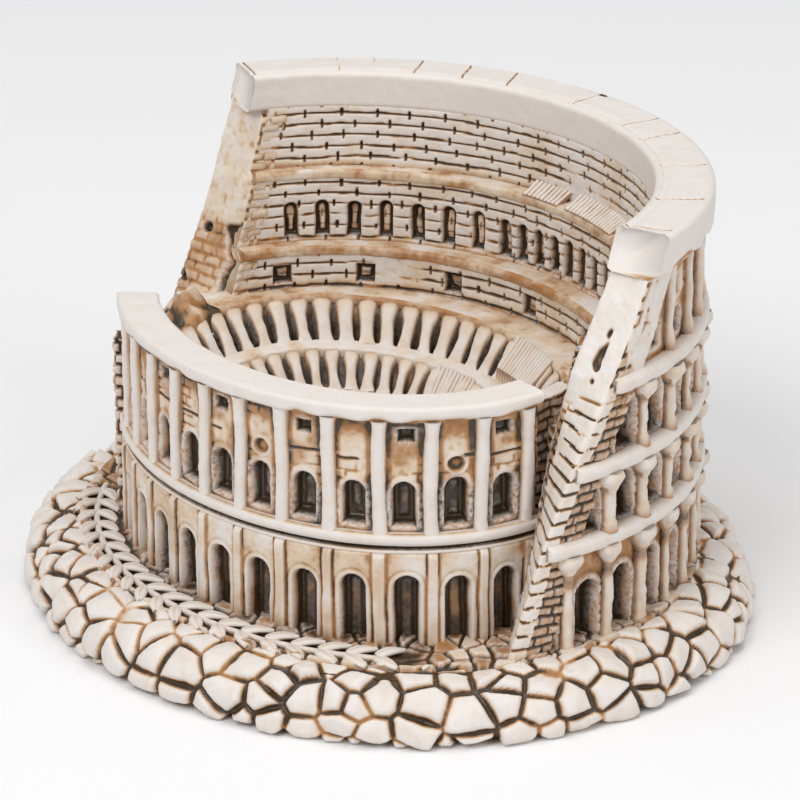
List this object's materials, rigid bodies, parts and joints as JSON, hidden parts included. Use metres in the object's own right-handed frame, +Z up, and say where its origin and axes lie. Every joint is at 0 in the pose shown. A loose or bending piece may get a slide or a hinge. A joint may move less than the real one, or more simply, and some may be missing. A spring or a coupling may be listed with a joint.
{
  "type": "miniature landmark model",
  "caption": "Tabletop souvenir model of a ruined ancient oval amphitheatre, its tall arcaded wall broken at both ends, on a cobbled oval plinth.",
  "frame": {"origin": "centre of the plinth's underside, at the felt's lower face", "axes": "+X along the oval plinth's long axis, -Y towards the low front wall, +Y towards the tall wall, +Z up"},
  "size_m": [0.1004, 0.0872, 0.0534],
  "materials": {
    "ivory_resin": "matt cast resin, antiqued with a brown wash",
    "cream_resin": "matt cast resin, rubbed clean on the high spots",
    "ochre_resin": "matt cast resin with ochre stain in the hollows",
    "umber_resin": "matt cast resin, dark umber wash in the joints",
    "felt": "thin pressed felt"
  },
  "bodies": {
    "root": {"felt_pad": "felt", "plinth_core": "umber_resin", "cobbles_bottom": "ivory_resin", "cobbles_middle": "ivory_resin", "cobbles_top": "ivory_resin", "paving_flags": "ivory_resin", "laurel_band": "cream_resin", "front_arcade_lower": "ivory_resin", "front_piers": "cream_resin", "front_string_course": "cream_resin", "front_arcade_upper": "ivory_resin", "front_pilasters": "cream_resin", "front_coping": "cream_resin", "outer_arcade_1": "ivory_resin", "outer_columns_1": "cream_resin", "outer_cornice_1": "cream_resin", "outer_arcade_2": "ivory_resin", "outer_columns_2": "cream_resin", "outer_cornice_2": "cream_resin", "outer_arcade_3": "ivory_resin", "outer_columns_3": "cream_resin", "outer_cornice_3": "cream_resin", "attic_wall": "ivory_resin", "attic_pilasters": "cream_resin", "top_coping": "cream_resin", "inner_wall_lower": "ivory_resin", "inner_wall_middle": "ivory_resin", "inner_wall_upper": "ivory_resin", "ledge_lower": "cream_resin", "ledge_middle": "cream_resin", "ledge_upper": "cream_resin", "upper_vaults": "ochre_resin", "upper_fins": "cream_resin", "upper_walk": "cream_resin", "lower_vaults": "ochre_resin", "lower_fins": "cream_resin", "podium_wall": "cream_resin", "arena_floor": "umber_resin", "stair_flights": "ivory_resin", "right_spur": "ivory_resin", "right_end_slab": "cream_resin", "left_spur": "ivory_resin", "left_end_pier": "ivory_resin", "left_rubble": "ochre_resin"}
  },
  "joints": []
}
